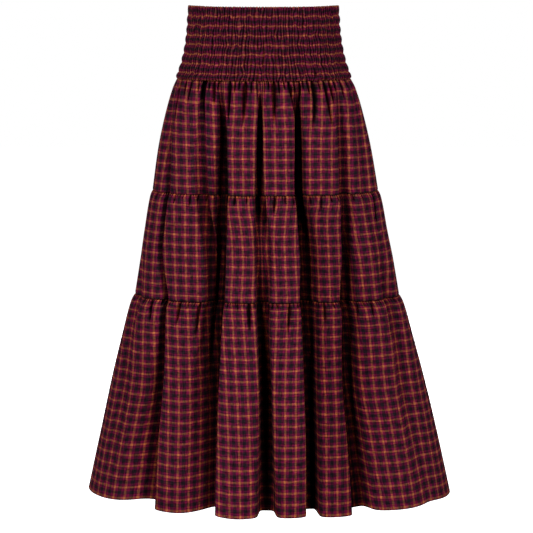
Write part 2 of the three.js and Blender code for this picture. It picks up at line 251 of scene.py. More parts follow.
FOLDS = (
    Fold((-80, -80, -80, -79, -76, -66, -64), (0, 0, 0, 0, 8, 5, 0),
         (8, 8, 8, 10, 14, 18, 20), (8, 8, 8, 10, 14, 18, 24)),
    Fold((-80, -68, -60.5, -59.5, -50, -43.5, -42), (4, 11, 17, 22, 28, 40, 42),
         (6, 12, 8, 9, 12, 24, 38), (6, 12, 9, 10, 10, 11, 20)),
    Fold((-42, -39, -36.5, -31, -28, -26, -24), (8, 13, 16, 22, 20, 6, 0),
         (5, 8, 10, 10, 11, 16, 16), (5, 8, 12, 16, 16, 16, 16)),
    Fold((-29, -24, -22, -20, -20.5, -20, -18.5), (6, 34, 38, 42, 44, 50, 46),
         (5, 15, 19, 22, 24, 28, 34), (6, 13, 14, 8, 14, 14, 12)),
    Fold((-2, -2.5, -3, -2.5, -2.5, -1, -1), (5, 28, 26, 19, 30, 44, 38),
         (4, 10, 11, 13, 13, 17, 19), (4, 9, 12, 20, 18, 17, 21)),
    Fold((21.5, 19.5, 17.5, 18, 17, 15, 13.5), (6, 42, 44, 46, 50, 50, 44),
         (6, 13, 13, 13, 16, 15, 15), (6, 15, 18, 25, 25, 20, 17)),
    Fold((54, 49.5, 45.5, 42, 38, 31.5, 29.5), (5, 16, 22, 36, 40, 46, 40),
         (6, 14, 15, 14, 16, 17, 19), (6, 14, 16, 17, 20, 21, 24)),
    Fold((80, 69, 63, 66, 66.5, 60, 61), (4, 6, 4, 4, 11, 9, 4),
         (8, 14, 14, 16, 16, 22, 34), (8, 16, 14, 18, 18, 30, 50)),
    Fold((107, 109, 110, 110, 109, 108, 108), (4, 11, 17, 22, 28, 38, 42),
         (5, 10, 11, 13, 16, 19, 22), (5, 10, 13, 15, 17, 21, 25)),
    Fold((131, 133, 134, 133, 132, 131, 130), (5, 18, 28, 30, 38, 46, 44),
         (5, 10, 12, 12, 16, 19, 20), (5, 11, 14, 15, 17, 20, 22)),
    Fold((153, 155, 156, 156, 155, 153, 152), (6, 32, 34, 40, 44, 50, 44),
         (5, 11, 13, 14, 17, 17, 19), (5, 11, 12, 16, 18, 19, 28)),
    Fold((177, 175, 175, 176, 176, 175, 174), (5, 22, 28, 26, 38, 48, 44),
         (5, 10, 12, 15, 17, 19, 20), (5, 11, 13, 13, 15, 18, 20)),
    Fold((200, 198, 197, 198, 199, 199, 198), (6, 34, 35, 42, 44, 48, 42),
         (5, 11, 13, 13, 16, 18, 20), (5, 11, 13, 15, 17, 19, 22)),
    Fold((225, 223, 222, 223, 223, 222, 222), (5, 16, 27, 28, 36, 46, 44),
         (5, 11, 12, 15, 17, 20, 28), (5, 10, 13, 14, 16, 18, 18)),
    Fold((250, 248, 247, 247, 248, 249, 249), (4, 10, 17, 20, 26, 36, 40),
         (5, 10, 11, 15, 17, 19, 20), (5, 11, 14, 16, 18, 21, 24)),
)


@dataclass(frozen=True)
class Section:
    """One level's line of cloth from side seam to side seam, evenly spaced along the cloth.

    Each point has its place and angle, the direction outwards, how deep in a valley it lies and the
    painted shade it gets from lying in a shut valley.
    """

    places: np.ndarray
    outward: np.ndarray
    degrees: np.ndarray
    valley: np.ndarray
    # Painted shade of shut valleys, used only for the colour
    painted_pocket_shade: np.ndarray
    length: float
    fold_runs: np.ndarray


def valley_profile(share: np.ndarray, reach: np.ndarray) -> np.ndarray:
    """Works out the shape of a fold's valley, from 1 at its floor to 0 on the crests.

    Args:
        share: The distance from the valley's middle in reaches.
        reach: The reach of that side. A short one is a steep wall, and a long one is a gentle slope.

    Returns:
        The share of the fold's depth.
    """
    steep = smooth_step(GENTLE_REACH, STEEP_REACH, reach)
    shoulder = np.exp(-((share / SHOULDER) ** 2))
    wall = WALL_SHARE / (1 + share**6) + (1 - WALL_SHARE) * shoulder
    slope = (1 + share**2) ** -1.5
    return steep * wall + (1 - steep) * slope


def lip_profile(share: np.ndarray, reach: np.ndarray) -> np.ndarray:
    """Works out how far the crests lean over a steep valley from both sides, from -1 to 1.

    Args:
        share: The distance from the valley's middle in reaches.
        reach: The reach of that side.

    Returns:
        The lean towards the valley's middle, with the side's sign.
    """
    steep = smooth_step(GENTLE_REACH, STEEP_REACH, reach)
    far = np.abs(share)
    rise = smooth_step(LIP_START, LIP_CREST, far)
    fade = np.exp(-((np.maximum(far - LIP_CREST, 0) / LIP_FADE) ** 2))
    return steep * rise * fade * np.sign(share)


def section_line(level: Level, folds: tuple[Fold, ...], side: Side, columns: int) -> Section:
    """Works out a level's outline with its long folds pressed in.

    Args:
        level: The outline at the level.
        folds: The long folds that reach it.
        side: The panel.
        columns: The number of steps across the panel.

    Returns:
        The section, with columns + 1 points.
    """
    degrees = np.linspace(*side.span, SECTION_SAMPLES + 1)
    angle = np.radians(degrees)
    sin, cos = np.sin(angle), np.cos(angle)
    half_depth = np.where(cos > 0, level.half_front, level.half_back)
    along = np.stack([level.half_width * cos, half_depth * sin], axis=1)
    speed = np.linalg.norm(along, axis=1)
    along /= speed[:, None]
    outward = np.stack([along[:, 1], -along[:, 0]], axis=1)
    inset = np.zeros_like(angle)
    painted_pocket_shade = np.zeros_like(angle)
    slide = np.zeros_like(angle)
    for fold in folds:
        centre, depth, left, right = fold.at(level.drop)
        turn = (degrees - centre + 180) % 360 - 180
        arc = np.radians(turn) * speed
        reach = np.where(arc < 0, left, right)
        share = arc / reach
        inset += depth * valley_profile(share, reach)
        # Painted shade in a shut valley, for the colour only; it does not move the cloth
        firm = smooth_step(STEEP_REACH, TIGHT_REACH, reach)
        firmness = SOFT_EDGE + (FIRM_EDGE - SOFT_EDGE) * firm
        shut = smooth_step(POCKET_OPEN, POCKET_SHUT, reach)
        painted_pocket_shade += depth * shut / (1 + np.abs(share) ** firmness)
        leaning = OVERHANG * np.minimum(1, depth / reach / LEANING_DEPTH)
        slide -= leaning * reach * lip_profile(share, reach)
    places = np.stack([level.centre + level.half_width * sin, -half_depth * cos], axis=1)
    places += outward * -inset[:, None] + along * slide[:, None]
    steps = np.linalg.norm(np.diff(places, axis=0), axis=1)
    lengths = np.concatenate([[0.0], np.cumsum(steps)])
    wanted = np.linspace(0, lengths[-1], columns + 1)
    line = np.stack([np.interp(wanted, lengths, places[:, axis]) for axis in (0, 1)], axis=1)
    run = np.gradient(line, axis=0)
    run /= np.linalg.norm(run, axis=1)[:, None]
    return Section(
        places=line,
        outward=np.stack([run[:, 1], -run[:, 0]], axis=1),
        degrees=np.interp(wanted, lengths, degrees),
        valley=np.interp(wanted, lengths, inset),
        painted_pocket_shade=np.interp(wanted, lengths, painted_pocket_shade),
        length=float(lengths[-1]),
        fold_runs=fold_runs(level, side, degrees, lengths),
    )


@dataclass(frozen=True)
class Crease:
    """One crease that starts at a seam and closes further down.

    It runs from one angle at the seam to another where it ends. The width is half its gap. A crease
    with a negative depth is a raised ridge.
    """

    start: float
    end: float
    width: float
    length: float
    depth: float | None = None

    STEEPNESS = 3.4
    DEEPEST = 12.0

    @property
    def pressed(self) -> float:
        """How deep the crease is pressed."""
        steep = min(self.STEEPNESS * self.width, self.DEEPEST)
        return steep if self.depth is None else self.depth


@dataclass(frozen=True)
class Gathers:
    """Uneven creases that start at a seam and close below it, with fine puckers between them.

    Front creases are listed one by one, each by a crease's values in their order. Those of the hidden
    side are alike but placed at random. A crease is narrow at the seam, widest a little below it, and
    closes to a point.
    """

    front: tuple[tuple[float, ...], ...]
    pitch: float
    long_share: float
    longest: float
    pucker_pitch: float
    pucker_depth: float
    pucker_length: float
    seed: int
    at_seam: float = 0.7
    rise: float = 5.0
    crest_lift: float = 1.3

    FIRST_SPACING = (0.6, 1.2)
    SPACING = (0.6, 1.4)
    LONG_WIDTH = (2, 4)
    LONG_LENGTH = (0.4, 1.0)
    SHORT_WIDTH = (1.5, 2)
    SHORT_LENGTH = (0.12, 0.25)
    LAST_ROOM = 0.5
    SLANT = 1.0
    FIRST_PUCKER = (0.3, 0.9)
    PUCKER_SPACING = (0.7, 1.3)
    PUCKER_DEPTHS = (0.7, 1.1)
    PUCKER_LENGTHS = (0.5, 1.5)
    PUCKER_ROOM = 0.3
    SEAM_WIDTH = 0.45
    WIDE_BELOW = 12.0
    GAP_WIDTH = 1.35
    CLOSING = 0.6
    SHARP_SHARE = 0.8
    SOFT_REACH = 4.0
    FADE_FROM = 0.5
    PUCKER_REACH = 1.4
    LONG_FROM = 0.3
    LIFT_BLEND = 0.5

    def creases(self, side: Side) -> list[Crease]:
        """Lists the panel's creases from the left to the right.

        Args:
            side: The panel.

        Returns:
            The creases.
        """
        if side is Side.FRONT:
            return [Crease(*values) for values in self.front]
        rng = np.random.default_rng(self.seed)
        start, end = side.span
        found = []
        at = start + self.pitch * rng.uniform(*self.FIRST_SPACING)
        while at < end - self.LAST_ROOM * self.pitch:
            widths, lengths = self.SHORT_WIDTH, self.SHORT_LENGTH
            if rng.uniform() < self.long_share:
                widths, lengths = self.LONG_WIDTH, self.LONG_LENGTH
            width, length = rng.uniform(*widths), self.longest * rng.uniform(*lengths)
            found.append(Crease(at, at + rng.normal(0, self.SLANT), width, length))
            at += self.pitch * rng.uniform(*self.SPACING)
        return found

    def press(
        self, side: Side, sections: list[Section], below: np.ndarray
    ) -> tuple[np.ndarray, np.ndarray, np.ndarray]:
        """Works out how far the creases and puckers move the cloth.

        Args:
            side: The panel.
            sections: Each row's section.
            below: Each row's distance below the seam.

        Returns:
            How far the creases and the puckers press the cloth in, and the painted shade of each
            point from lying in a crease's gap, from 0 to 1, row by column.
        """
        rng = np.random.default_rng(self.seed + 1)
        seam = sections[0]
        at_seam = np.linspace(0, seam.length, len(seam.degrees))
        puckers = []
        place = self.pucker_pitch * rng.uniform(*self.FIRST_PUCKER)
        while place < seam.length - self.PUCKER_ROOM * self.pucker_pitch:
            depth = self.pucker_depth * rng.uniform(*self.PUCKER_DEPTHS)
            length = self.pucker_length * rng.uniform(*self.PUCKER_LENGTHS)
            puckers.append((float(np.interp(place, at_seam, seam.degrees)), depth, length))
            place += self.pucker_pitch * rng.uniform(*self.PUCKER_SPACING)
        pressed = np.zeros((len(sections), len(at_seam)))
        puckered = np.zeros_like(pressed)
        gap_shade = np.zeros_like(pressed)
        for i, section in enumerate(sections):
            run = np.linspace(0, section.length, len(at_seam))
            rising = self.at_seam + (1 - self.at_seam) * float(smooth_step(0, self.rise, below[i]))
            opened = float(smooth_step(0, self.WIDE_BELOW, below[i]))
            opened = self.SEAM_WIDTH + (1 - self.SEAM_WIDTH) * opened
            for crease in self.creases(side):
                t = below[i] / crease.length
                if t >= 1:
                    continue
                angle = crease.start + (crease.end - crease.start) * t
                off = run - float(np.interp(angle, section.degrees, run))
                narrow = self.GAP_WIDTH * crease.width * (1 - self.CLOSING * t) * opened
                sharp = 1 / (1 + (off / narrow) ** 4)
                soft = np.exp(-((off / (self.SOFT_REACH * crease.width)) ** 2))
                form = self.SHARP_SHARE * sharp + (1 - self.SHARP_SHARE) * soft
                fading = rising * (1 - float(smooth_step(self.FADE_FROM, 1.0, t)))
                pressed[i] += crease.pressed * fading * form
                # Painted shade in the crease's gap
                if crease.pressed > 0:
                    gap_shade[i] = np.maximum(gap_shade[i], fading * sharp)
            for angle, depth, length in puckers:
                if below[i] >= length:
                    continue
                off = run - float(np.interp(angle, section.degrees, run))
                form = np.exp(-((off / self.PUCKER_REACH) ** 2))
                puckered[i] += depth * (1 - below[i] / length) * form
        return pressed, puckered, gap_shade

    def crest_lifts(self, side: Side, section: Section, below: float) -> np.ndarray:
        """Works out how much higher each crest between two long creases holds its weft.

        Args:
            side: The panel.
            section: The row's section.
            below: The row's distance below the seam.

        Returns:
            The lift of each point in millimetres.
        """
        rng = np.random.default_rng(self.seed + 2)
        shortest = self.LONG_FROM * self.longest
        starts = [crease.start for crease in self.creases(side) if crease.length > shortest]
        lifts = rng.normal(0, self.crest_lift, len(starts) + 1)
        edges = np.array([side.span[0], *np.repeat(starts, 2), side.span[1]])
        edges[1:-1] += np.tile([-self.LIFT_BLEND, self.LIFT_BLEND], len(starts))
        fading = math.exp(-below / self.longest)
        return fading * np.interp(section.degrees, edges, np.repeat(lifts, 2))


def fold_runs(level: Level, side: Side, degrees: np.ndarray, lengths: np.ndarray) -> np.ndarray:
    """Finds the places along the cloth of the panel's fold valleys, with both side seams.

    Args:
        level: The outline at the level.
        side: The panel.
        degrees: The angles along the section.
        lengths: The cloth's length up to each of them.

    Returns:
        The places from the left seam to the right seam.
    """
    start, end = side.span
    hiding = [fold for fold in FOLDS if fold.hides and start < fold.angle[0] < end]
    inner = np.interp(sorted(fold.at(level.drop)[0] for fold in hiding), degrees, lengths)
    return np.concatenate([[0.0], inner, [lengths[-1]]])


def edge_middles(side: Side, drop: float) -> tuple[float, float]:
    """Finds the middles of a panel's outer crests, short of a shallow fold near the side seam.

    Args:
        side: The panel.
        drop: The drop to look at.

    Returns:
        The angles on the first and on the last crest.
    """
    start, end = side.span
    inside = [fold for fold in FOLDS if start < fold.angle[-1] < end]
    angles = [fold.at(drop)[0] for fold in inside]
    beyond_first = start if inside[0].hides else angles[1]
    beyond_last = end if inside[-1].hides else angles[-2]
    return (angles[0] + beyond_first) / 2, (angles[-1] + beyond_last) / 2


@dataclass(frozen=True)
class Crests:
    """Where the warp runs on each crest between two hiding valleys.

    Each crest has the angle that its middle has at the tier's foot and the warp thread there. Higher
    up the middle keeps nearly under the same place near the front's centre, and follows the outline
    at the sides.
    """

    side: Side
    foot: Level
    angles: np.ndarray
    threads: np.ndarray

    def angles_at(self, level: Level) -> np.ndarray:
        """Finds the crests' middles at a level.

        Args:
            level: The level.

        Returns:
            Their angles in degrees.
        """
        sin = np.sin(np.radians(self.angles))
        narrower = level.half_width / self.foot.half_width
        share = sin * (1 + sin**4 * (narrower - 1)) / narrower
        turn = np.degrees(np.arcsin(np.clip(share, -1, 1)))
        turn = turn if self.side is Side.FRONT else 180 - turn
        turn[0], turn[-1] = edge_middles(self.side, level.drop)
        return turn


def thread_places(
    run: np.ndarray, valleys: np.ndarray, middles: np.ndarray, threads: np.ndarray
) -> np.ndarray:
    """Lays the warp threads straight down each crest and hides the spare cloth in the valleys.

    Args:
        run: The places along the cloth as it hangs.
        valleys: The valleys' places along it, with both side seams.
        middles: The crests' middles along it.
        threads: The threads that run down those middles.

    Returns:
        The place on the flat cloth of each point.
    """
    at, to = [run[0]], [threads[0] - (middles[0] - run[0])]
    for i in range(1, len(valleys) - 1):
        for side, crest in ((-1, i - 1), (1, i)):
            at.append(valleys[i] + side * HIDDEN_STRIP)
            to.append(threads[crest] + at[-1] - middles[crest])
    at.append(run[-1])
    to.append(threads[-1] + run[-1] - middles[-1])
    return np.interp(run, at, to)


def height_at(level: Level, degrees: np.ndarray, valley: np.ndarray | float = 0.0) -> np.ndarray:
    """Works out the height of a level's points.

    The front may hang higher than the sides, the waist edge dips at the back and the hem tilts. Near
    the hem the cloth hangs higher at both sides and in the valleys, and each crest sags.

    Args:
        level: The level.
        degrees: The points' angles.
        valley: How deep in a fold each point lies.

    Returns:
        The heights in millimetres.
    """
    angle = np.radians(degrees)
    lift = level.lift * np.maximum(0, np.cos(angle)) ** 2
    tilt = HEM_TILT * (level.drop / HEM) ** 3 * np.sin(angle)
    near_waist = float(smooth_step(BAND_FOOT, 0, level.drop))
    dip = WAIST_DIP * near_waist * np.maximum(0, -np.cos(angle)) ** 2
    wing = WING_RISE * smooth_step(WING_START, WING_END, np.abs(np.sin(angle) + WING_SHIFT))
    sag = CREST_SAG * (SAG_MEAN - np.exp(-valley / SAG_VALLEY))
    near_hem = float(smooth_step(SEAM_TWO, HEM, level.drop))
    return -level.drop + lift - tilt - dip + near_hem * (wing + HEM_RISE * valley + sag)


def cloth_mesh(
    name: str, places: np.ndarray, charts: np.ndarray, painted_shade: np.ndarray
) -> bpy.types.Object:
    """Makes a sheet of cloth from a grid whose points are moved to their places.

    Args:
        name: The piece's name.
        places: Row by column by three, in millimetres, rows from the top down.
        charts: Row by column by two, the place on the flat cloth in millimetres.
        painted_shade: Row by column, the painted shade, from 0 on the crests to 1 deep in the folds.

    Returns:
        The piece, with a UV map in metres of cloth.
    """
    rows, columns = places.shape[0] - 1, places.shape[1] - 1
    grid = bmesh.new()
    bmesh.ops.create_grid(grid, x_segments=columns, y_segments=rows, size=0.5)
    mesh = bpy.data.meshes.new(name)
    grid.to_mesh(mesh)
    grid.free()
    flat = np.empty(len(mesh.vertices) * 3)
    mesh.vertices.foreach_get("co", flat)
    flat = flat.reshape(-1, 3)
    column = np.rint((flat[:, 0] + 0.5) * columns).astype(int)
    row = np.rint((0.5 - flat[:, 1]) * rows).astype(int)
    mesh.vertices.foreach_set("co", (places[row, column] * MM).ravel())
    corners = np.empty(len(mesh.loops), dtype=int)
    mesh.loops.foreach_get("vertex_index", corners)
    chart = mesh.uv_layers.new(name="cloth")
    chart.data.foreach_set("uv", (charts[row, column][corners] * MM).ravel())
    # The painted shade is kept on the points for the material to darken the colour with
    depth = mesh.attributes.new("painted_shade", "FLOAT", "POINT")
    depth.data.foreach_set("value", painted_shade[row, column])
    mesh.shade_smooth()
    mesh.update()
    piece = bpy.data.objects.new(name, mesh)
    bpy.context.scene.collection.objects.link(piece)
    return piece


def thicken(piece: bpy.types.Object, thickness: float) -> None:
    """Gives a sheet its thickness inwards.

    Args:
        piece: The sheet.
        thickness: Its thickness in millimetres.
    """
    wall = piece.modifiers.new("cloth wall", "SOLIDIFY")
    wall.thickness = thickness * MM
    wall.offset = -1.0
    wall.use_even_offset = False


def linear(hex_colour: str) -> tuple[float, float, float, float]:
    """Turns an sRGB hex colour to linear light.

    Args:
        hex_colour: The colour.

    Returns:
        Its red, green, blue and alpha.
    """
    channels = [int(hex_colour[i : i + 2], 16) / 255 for i in (1, 3, 5)]
    light = [c / 12.92 if c <= 0.04045 else ((c + 0.055) / 1.055) ** 2.4 for c in channels]
    return light[0], light[1], light[2], 1.0


def add_node(
    tree: bpy.types.NodeTree, kind: str, inputs: dict | None = None, **settings: object
) -> bpy.types.Node:
    """Adds a node with its settings, values and links.

    Args:
        tree: The material's tree.
        kind: The node's type.
        inputs: For each input's name or number, a value or the socket to link from.
        settings: The node's own properties.

    Returns:
        The node.
    """
    node = tree.nodes.new(kind)
    for key, value in settings.items():
        setattr(node, key, value)
    for key, value in (inputs or {}).items():
        if isinstance(value, bpy.types.NodeSocket):
            tree.links.new(value, node.inputs[key])
        else:
            node.inputs[key].default_value = value
    return node


@dataclass(frozen=True)
class CheckedCotton:
    """Brushed cotton woven in a small check of orange, wine and charcoal threads.

    Warp and weft have the same order of colours. Where they cross, the eye sees the mean of both.
    The nap hides single threads and gives a soft, matt surface with a faint sheen at its edges. In
    its hollows the colour is painted darker and redder, a painted shade that stands in for the
    shade there and for the red light that the cloth throws into them. Where it is
    gathered on elastic, the ribs break up the warp's colours and mostly the weft's are seen.
    """

    orange: str = "#bd6f40"
    wine: str = "#71123b"
    charcoal: str = "#241b20"
    gathered_warp: str = "#4a1a2c"
    roughness: float = 0.88
    sheen: float = 0.015
    sheen_roughness: float = 0.5
    specular: float = 0.06
    # How much the painted shade reddens and darkens the colour in the hollows
    shade_reddening: float = 0.6
    shade_darkening: float = 0.85
    yarn_unevenness: float = 1.8
    warp_contrast: float = 1.0
    weft_share: float = 0.5

    STRIPES = (
        (0.0, "orange"),
        (0.13, "orange"),
        (0.23, "wine"),
        (0.62, "wine"),
        (0.74, "charcoal"),
        (1.0, "charcoal"),
    )
    # Uneven yarns 2.4 mm wide and 11 mm long, far coarser than real ones so that they show
    YARNS_A_METRE = (420.0, 90.0)

    def build(self, name: str) -> bpy.types.Material:
        """Builds the material on the cloth's own UV map.

        Args:
            name: The material's name.

        Returns:
            The material.
        """
        material = bpy.data.materials.new(name)
        material.use_nodes = True
        tree = material.node_tree
        tree.nodes.clear()
        chart = add_node(tree, "ShaderNodeUVMap", uv_map="cloth").outputs["UV"]
        split = add_node(tree, "ShaderNodeSeparateXYZ", {0: chart})
        warp, weft = (self.threads(tree, split.outputs[axis]) for axis in "XY")
        sets = {"Factor": self.warp_contrast, 6: linear(self.gathered_warp), 7: warp}
        gathered = add_node(tree, "ShaderNodeMix", sets, data_type="RGBA")
        sets = {"Factor": self.weft_share}
        for socket, colour in ((6, gathered.outputs[2]), (7, weft)):
            seen = add_node(tree, "ShaderNodeGamma", {"Color": colour, "Gamma": 1 / GAMMA})
            sets[socket] = seen.outputs["Color"]
        mean = add_node(tree, "ShaderNodeMix", sets, data_type="RGBA")
        weave = add_node(tree, "ShaderNodeGamma", {"Color": mean.outputs[2], "Gamma": GAMMA})
        lit = {0: weave.outputs["Color"], 3: self.yarns(tree, chart)}
        uneven = add_node(tree, "ShaderNodeVectorMath", lit, operation="SCALE")
        # Painted shade: the painted_shade attribute makes the colour redder by a gamma and darker by
        # a scale, in place of the shade in the folds, creases and grooves
        painted_shade = add_node(tree, "ShaderNodeAttribute", attribute_name="painted_shade").outputs["Fac"]
        shade_gamma, shade = (
            add_node(tree, "ShaderNodeMath", {0: painted_shade, 1: rate, 2: 1.0}, operation="MULTIPLY_ADD")
            for rate in (self.shade_reddening, -self.shade_darkening)
        )
        lit = {"Color": uneven.outputs["Vector"], "Gamma": shade_gamma.outputs[0]}
        reddened_in_shade = add_node(tree, "ShaderNodeGamma", lit)
        lit = {0: reddened_in_shade.outputs["Color"], 3: shade.outputs[0]}
        painted_shade_colour = add_node(tree, "ShaderNodeVectorMath", lit, operation="SCALE")
        finish = {
            "Base Color": painted_shade_colour.outputs["Vector"],
            "Roughness": self.roughness,
            "Sheen Weight": self.sheen,
            "Sheen Roughness": self.sheen_roughness,
            "Specular IOR Level": self.specular,
        }
        shader = add_node(tree, "ShaderNodeBsdfPrincipled", finish)
        add_node(tree, "ShaderNodeOutputMaterial", {"Surface": shader.outputs["BSDF"]})
        return material

    def yarns(self, tree: bpy.types.NodeTree, chart: bpy.types.NodeSocket) -> bpy.types.NodeSocket:
        """Varies the brightness along single yarns of both sets.

        Args:
            tree: The material's tree.
            chart: The place on the cloth, in metres.

        Returns:
            The brightness, about 1.
        """
        across, along = self.YARNS_A_METRE
        brightness = 1.0 - self.yarn_unevenness
        for scale in ((across, along, 1), (along, across, 1)):
            cells = add_node(tree, "ShaderNodeVectorMath", {0: chart, 1: scale}, operation="MULTIPLY")
            grain = {"Vector": cells.outputs[0], "Scale": 1.0, "Detail": 1.0}
            noise = add_node(tree, "ShaderNodeTexNoise", grain)
            terms = {0: noise.outputs[0], 1: self.yarn_unevenness, 2: brightness}
            brightness = add_node(tree, "ShaderNodeMath", terms, operation="MULTIPLY_ADD").outputs[0]
        return brightness

    def threads(self, tree: bpy.types.NodeTree, place: bpy.types.NodeSocket) -> bpy.types.NodeSocket:
        """Colours one set of threads along its place on the cloth.

        Args:
            tree: The material's tree.
            place: The place across the threads, in metres.

        Returns:
            The colour.
        """
        per_metre = 2 / (CHECK_REPEAT * MM)
        halves = add_node(tree, "ShaderNodeMath", {0: place, 1: per_metre}, operation="MULTIPLY")
        mirrored = {0: halves.outputs[0], 1: 1.0}
        folded = add_node(tree, "ShaderNodeMath", mirrored, operation="PINGPONG")
        ramp = add_node(tree, "ShaderNodeValToRGB", {"Fac": folded.outputs[0]})
        elements = ramp.color_ramp.elements
        while len(elements) < len(self.STRIPES):
            elements.new(0.5)
        for element, (position, colour) in zip(elements, self.STRIPES):
            element.position = position
            element.color = linear(getattr(self, colour))
        return ramp.outputs["Color"]


@dataclass
class Tier:
    """One gathered tier, as a front and a back piece of cloth.

    A tier has a narrow seam allowance hidden above its seam, and at its foot an edge that is turned
    inwards where the next tier is sewn on. The weft's rows and the warp's shifts follow the check.
    """

    name: str
    top: float
    foot: float
    gathers: Gathers
    columns: int
    rows: int
    weft: tuple[tuple[float, float], ...]
    shifts: tuple[float, ...]
    sway: tuple[tuple[float, float], ...] = ((-90, 0), (270, 0))
    tuck: float = 2.0
    # Painted shade along the seams
    seam_shade: float = 0.5
    seam_folds: tuple[Fold, ...] = FOLDS

    ALLOWANCE = ((4.0, 4.5), (0.5, 3.0))
    FOOT_ROWS = (3.2, 1.4)
    EVEN_SHARE = 0.35
    TUCK_REACH = 1.2
    SEAM_SHADE_REACH = 0.8
    SIDE_SEAM = 0.015
    CALMING_VALLEY = 40.0
    SWAY_BELOW = 18.0
    POCKET_SHADE = 28.0
    GAP_SHADE = 3.5
    GAP_POWER = 1.6
    PUCKER_SHADE = 1.8

    @property
    def outline(self) -> Outline:
        """The levels from the tier's top to its foot."""
        return Outline(tuple(level for level in TIER_LEVELS if self.top <= level.drop <= self.foot))

    @property
    def turned(self) -> bool:
        """Whether the tier's foot is turned inwards at a seam."""
        return self.foot < HEM

    def drops(self) -> np.ndarray:
        """Spaces the rows: the seam allowance, close under the seam, wider below, and the foot.

        Returns:
            The rows' drops from the top down.
        """
        turned = [self.foot] if self.turned else []
        share = np.linspace(0, 1, self.rows - 1 - len(self.ALLOWANCE) - len(turned))
        eased = self.EVEN_SHARE * share + (1 - self.EVEN_SHARE) * share**2
        last, edge = self.FOOT_ROWS
        open_cloth = self.top + (self.foot - last - self.top) * eased
        allowance = [self.top - rise for rise, _ in self.ALLOWANCE]
        return np.concatenate([allowance, open_cloth, [self.foot - edge, self.foot], turned])

    def inset_at(self, row: int, drop: float) -> float:
        """Finds how far inside its line a row lies at the seams.

        Args:
            row: The row's number from the top.
            drop: Its drop.

        Returns:
            The inset in millimetres.
        """
        if row < len(self.ALLOWANCE):
            return self.ALLOWANCE[row][1]
        if self.turned and row == self.rows:
            return TURNED_EDGE
        return self.tuck * self.tuck_at(drop, self.TUCK_REACH)

    def tuck_at(self, drop: float, reach: float) -> float:
        """Finds how far the cloth is drawn into the nearest seam.

        Args:
            drop: The drop to look at.
            reach: How far from a seam the tuck is felt.

        Returns:
            The share of the whole tuck, from 0 to 1.
        """
        above = math.exp(-(((drop - self.top) / reach) ** 2))
        under = math.exp(-(((self.foot - drop) / reach) ** 2)) if self.turned else 0.0
        return max(above, under)

    def crests(self, side: Side, foot: Section) -> Crests:
        """Finds the crests' middles and their threads at the tier's foot.

        Args:
            side: The panel.
            foot: The section at the foot.

        Returns:
            The crests.
        """
        run = np.linspace(0, foot.length, len(foot.degrees))
        valleys = np.interp(foot.fold_runs, run, foot.degrees)
        angles = (valleys[1:] + valleys[:-1]) / 2
        angles[0], angles[-1] = edge_middles(side, self.foot)
        threads = np.interp(angles, foot.degrees, run)
        if side is Side.FRONT:
            threads = threads - np.array(self.shifts)
        return Crests(side, self.outline.at(self.foot), angles, threads)

    def warp_places(self, level: Level, section: Section, crests: Crests) -> np.ndarray:
        """Finds which warp thread lies at each point of a row.

        Args:
            level: The row's level.
            section: The row's section.
            crests: The crests' middles and their threads.

        Returns:
            The places across the flat cloth in millimetres.
        """
        angle = np.radians(section.degrees)
        half_depth = np.where(np.cos(angle) > 0, level.half_front, level.half_back)
        across = level.half_width * np.abs(np.cos(angle))
        facing = across / np.hypot(across, half_depth * np.sin(angle))
        steps = np.linalg.norm(np.diff(section.places, axis=0), axis=1)
        steps *= np.maximum(facing[1:], WING_SPREAD)
        run = np.concatenate([[0.0], np.cumsum(steps)])
        shares = np.linspace(0, 1, len(run))
        valleys = np.interp(section.fold_runs / section.length, shares, run)
        middles = np.interp(crests.angles_at(level), section.degrees, run)
        return thread_places(run, valleys, middles, crests.threads)

    def build(self, side: Side, cotton: bpy.types.Material) -> bpy.types.Object:
        """Builds one panel of the tier.

        Args:
            side: The panel.
            cotton: The cloth's material.

        Returns:
            The finished piece.
        """
        front = side is Side.FRONT
        columns = self.columns if front else round(self.columns * BACK_COLUMNS)
        drops = self.drops()
        levels = [self.outline.at(drop) for drop in drops]
        below = drops - self.top
        hidden = len(self.ALLOWANCE)
        sections = [
            section_line(level, FOLDS if deep >= 0 else self.seam_folds, side, columns)
            for level, deep in zip(levels, below)
        ]
        crests = self.crests(side, sections[-1])
        pressed, puckered, gap_shade = (
            np.concatenate([np.zeros((hidden, columns + 1)), rows])
            for rows in self.gathers.press(side, sections[hidden:], below[hidden:])
        )
        even = np.linspace(0, 1, columns + 1)
        open_seams = smooth_step(0, self.SIDE_SEAM, even) * smooth_step(1, 1 - self.SIDE_SEAM, even)
        places = np.empty((*pressed.shape, 3))
        charts = np.empty((*pressed.shape, 2))
        painted_shade = np.empty(pressed.shape)
        for i, (level, section) in enumerate(zip(levels, sections)):
            pressed[i] *= open_seams / (1 + section.valley / self.CALMING_VALLEY)
            puckered[i] *= open_seams
            inset = pressed[i] + puckered[i] + self.inset_at(i, level.drop)
            places[i, :, :2] = section.places - section.outward * inset[:, None]
            places[i, :, 2] = height_at(level, section.degrees, section.valley)
            charts[i, :, 0] = self.warp_places(level, section, crests)
            repeats = smooth_column(*zip(*self.weft), level.drop)
            calmed = float(smooth_step(0, self.SWAY_BELOW, below[i]))
            swayed = calmed * np.interp(section.degrees, *zip(*self.sway)) if front else 0.0
            swayed = swayed + self.gathers.crest_lifts(side, section, max(0.0, below[i]))
            charts[i, :, 1] = -(CHECK_REPEAT * repeats + swayed)
